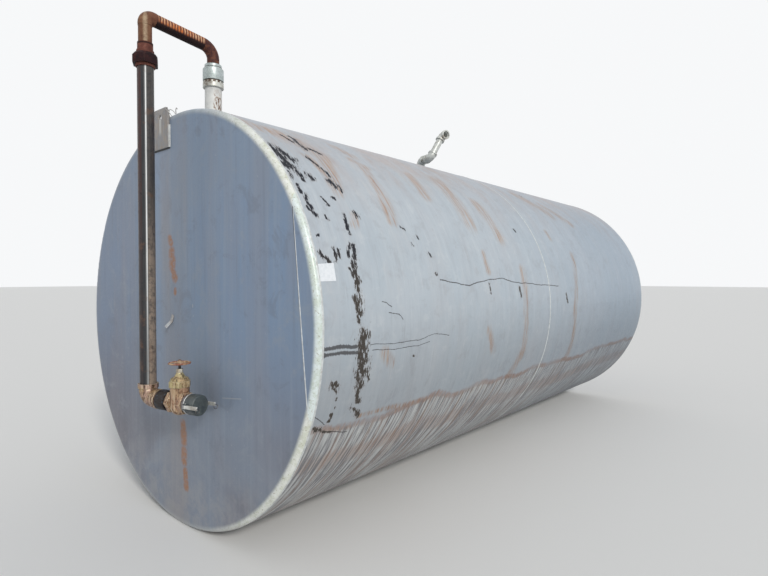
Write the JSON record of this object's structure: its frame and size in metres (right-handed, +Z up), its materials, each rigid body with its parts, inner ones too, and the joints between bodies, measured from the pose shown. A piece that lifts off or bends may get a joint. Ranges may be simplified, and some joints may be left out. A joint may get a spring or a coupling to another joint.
{
  "type": "horizontal storage tank",
  "caption": "Horizontal cylindrical steel storage tank with flat flanged ends, a front riser pipe with gate valve and capped hose end, an overhead fill pipe and a vent.",
  "frame": {"origin": "on the ground, under the middle of the bounding box", "axes": "+Z up, Y along the tank with the valve end at -Y, +X to the right seen from the valve end"},
  "size_m": [2.442, 5.39, 2.9707],
  "materials": {
    "tank_paint": "weathered aluminium paint, rust streaked",
    "head_paint": "weathered aluminium paint",
    "weld": "painted weld bead",
    "white_paint": "chipped white paint",
    "galvanised": "dull galvanised steel",
    "rusty_pipe": "rusted steel",
    "rusty_union": "rusted malleable iron",
    "dark_pipe": "dark mill scale",
    "brass": "dirty cast bronze",
    "stem_steel": "greasy steel",
    "wheel_paint": "worn red-brown paint",
    "adapter_metal": "dull cast aluminium",
    "cap_plastic": "dark grey moulded plastic",
    "cam_steel": "bright steel"
  },
  "bodies": {
    "tank": {"front_shell": "tank_paint", "rear_shell": "tank_paint", "ring_welds": "weld", "front_head": "head_paint", "front_head_segment": "head_paint", "rear_head": "head_paint", "rear_head_segment": "head_paint", "head_seams": "weld", "lifting_lug": "head_paint", "lug_weld": "weld", "head_clip": "head_paint", "fill_stub": "white_paint", "fill_stub_weld": "white_paint", "fill_collar": "white_paint", "fill_coupling": "galvanised", "overhead_bend": "rusty_pipe", "overhead_run": "rusty_pipe", "top_elbow": "rusty_pipe", "upper_leg": "rusty_pipe", "union_upper": "rusty_union", "union_nut": "rusty_union", "union_lower": "rusty_union", "riser_pipe": "dark_pipe", "bottom_elbow": "brass", "line_nipples": "dark_pipe", "line_coupling": "dark_pipe", "valve_body": "brass", "valve_bonnet": "brass", "packing_nut": "brass", "hose_adapter": "adapter_metal", "dust_cap": "cap_plastic", "cam_pins": "cam_steel", "vent_socket": "galvanised", "vent_nipples": "galvanised", "vent_elbows": "galvanised", "vent_pipe": "galvanised", "vent_outlet": "galvanised"},
    "handwheel": {"valve_stem": "stem_steel", "handwheel": "wheel_paint", "wheel_nut": "stem_steel"},
    "front_arm": {"front_cam_arm": "cam_steel", "front_pull_ring": "cam_steel"},
    "rear_arm": {"rear_cam_arm": "cam_steel", "rear_pull_ring": "cam_steel"}
  },
  "joints": [
    {"name": "wheel_turn", "type": "hinge", "parent": "tank", "child": "handwheel", "pos_m": [0.25236, -2.56836, 0.78898], "axis": [0, 0, 1], "range_deg": [0, 2880]},
    {"name": "front_arm_swing", "type": "hinge", "parent": "tank", "child": "front_arm", "pos_m": [0.3746, -2.60474, 0.78898], "axis": [0, 0, -1], "range_deg": [0, 100]},
    {"name": "rear_arm_swing", "type": "hinge", "parent": "tank", "child": "rear_arm", "pos_m": [0.34923, -2.48541, 0.78898], "axis": [0, 0, 1], "range_deg": [0, 4]}
  ]
}
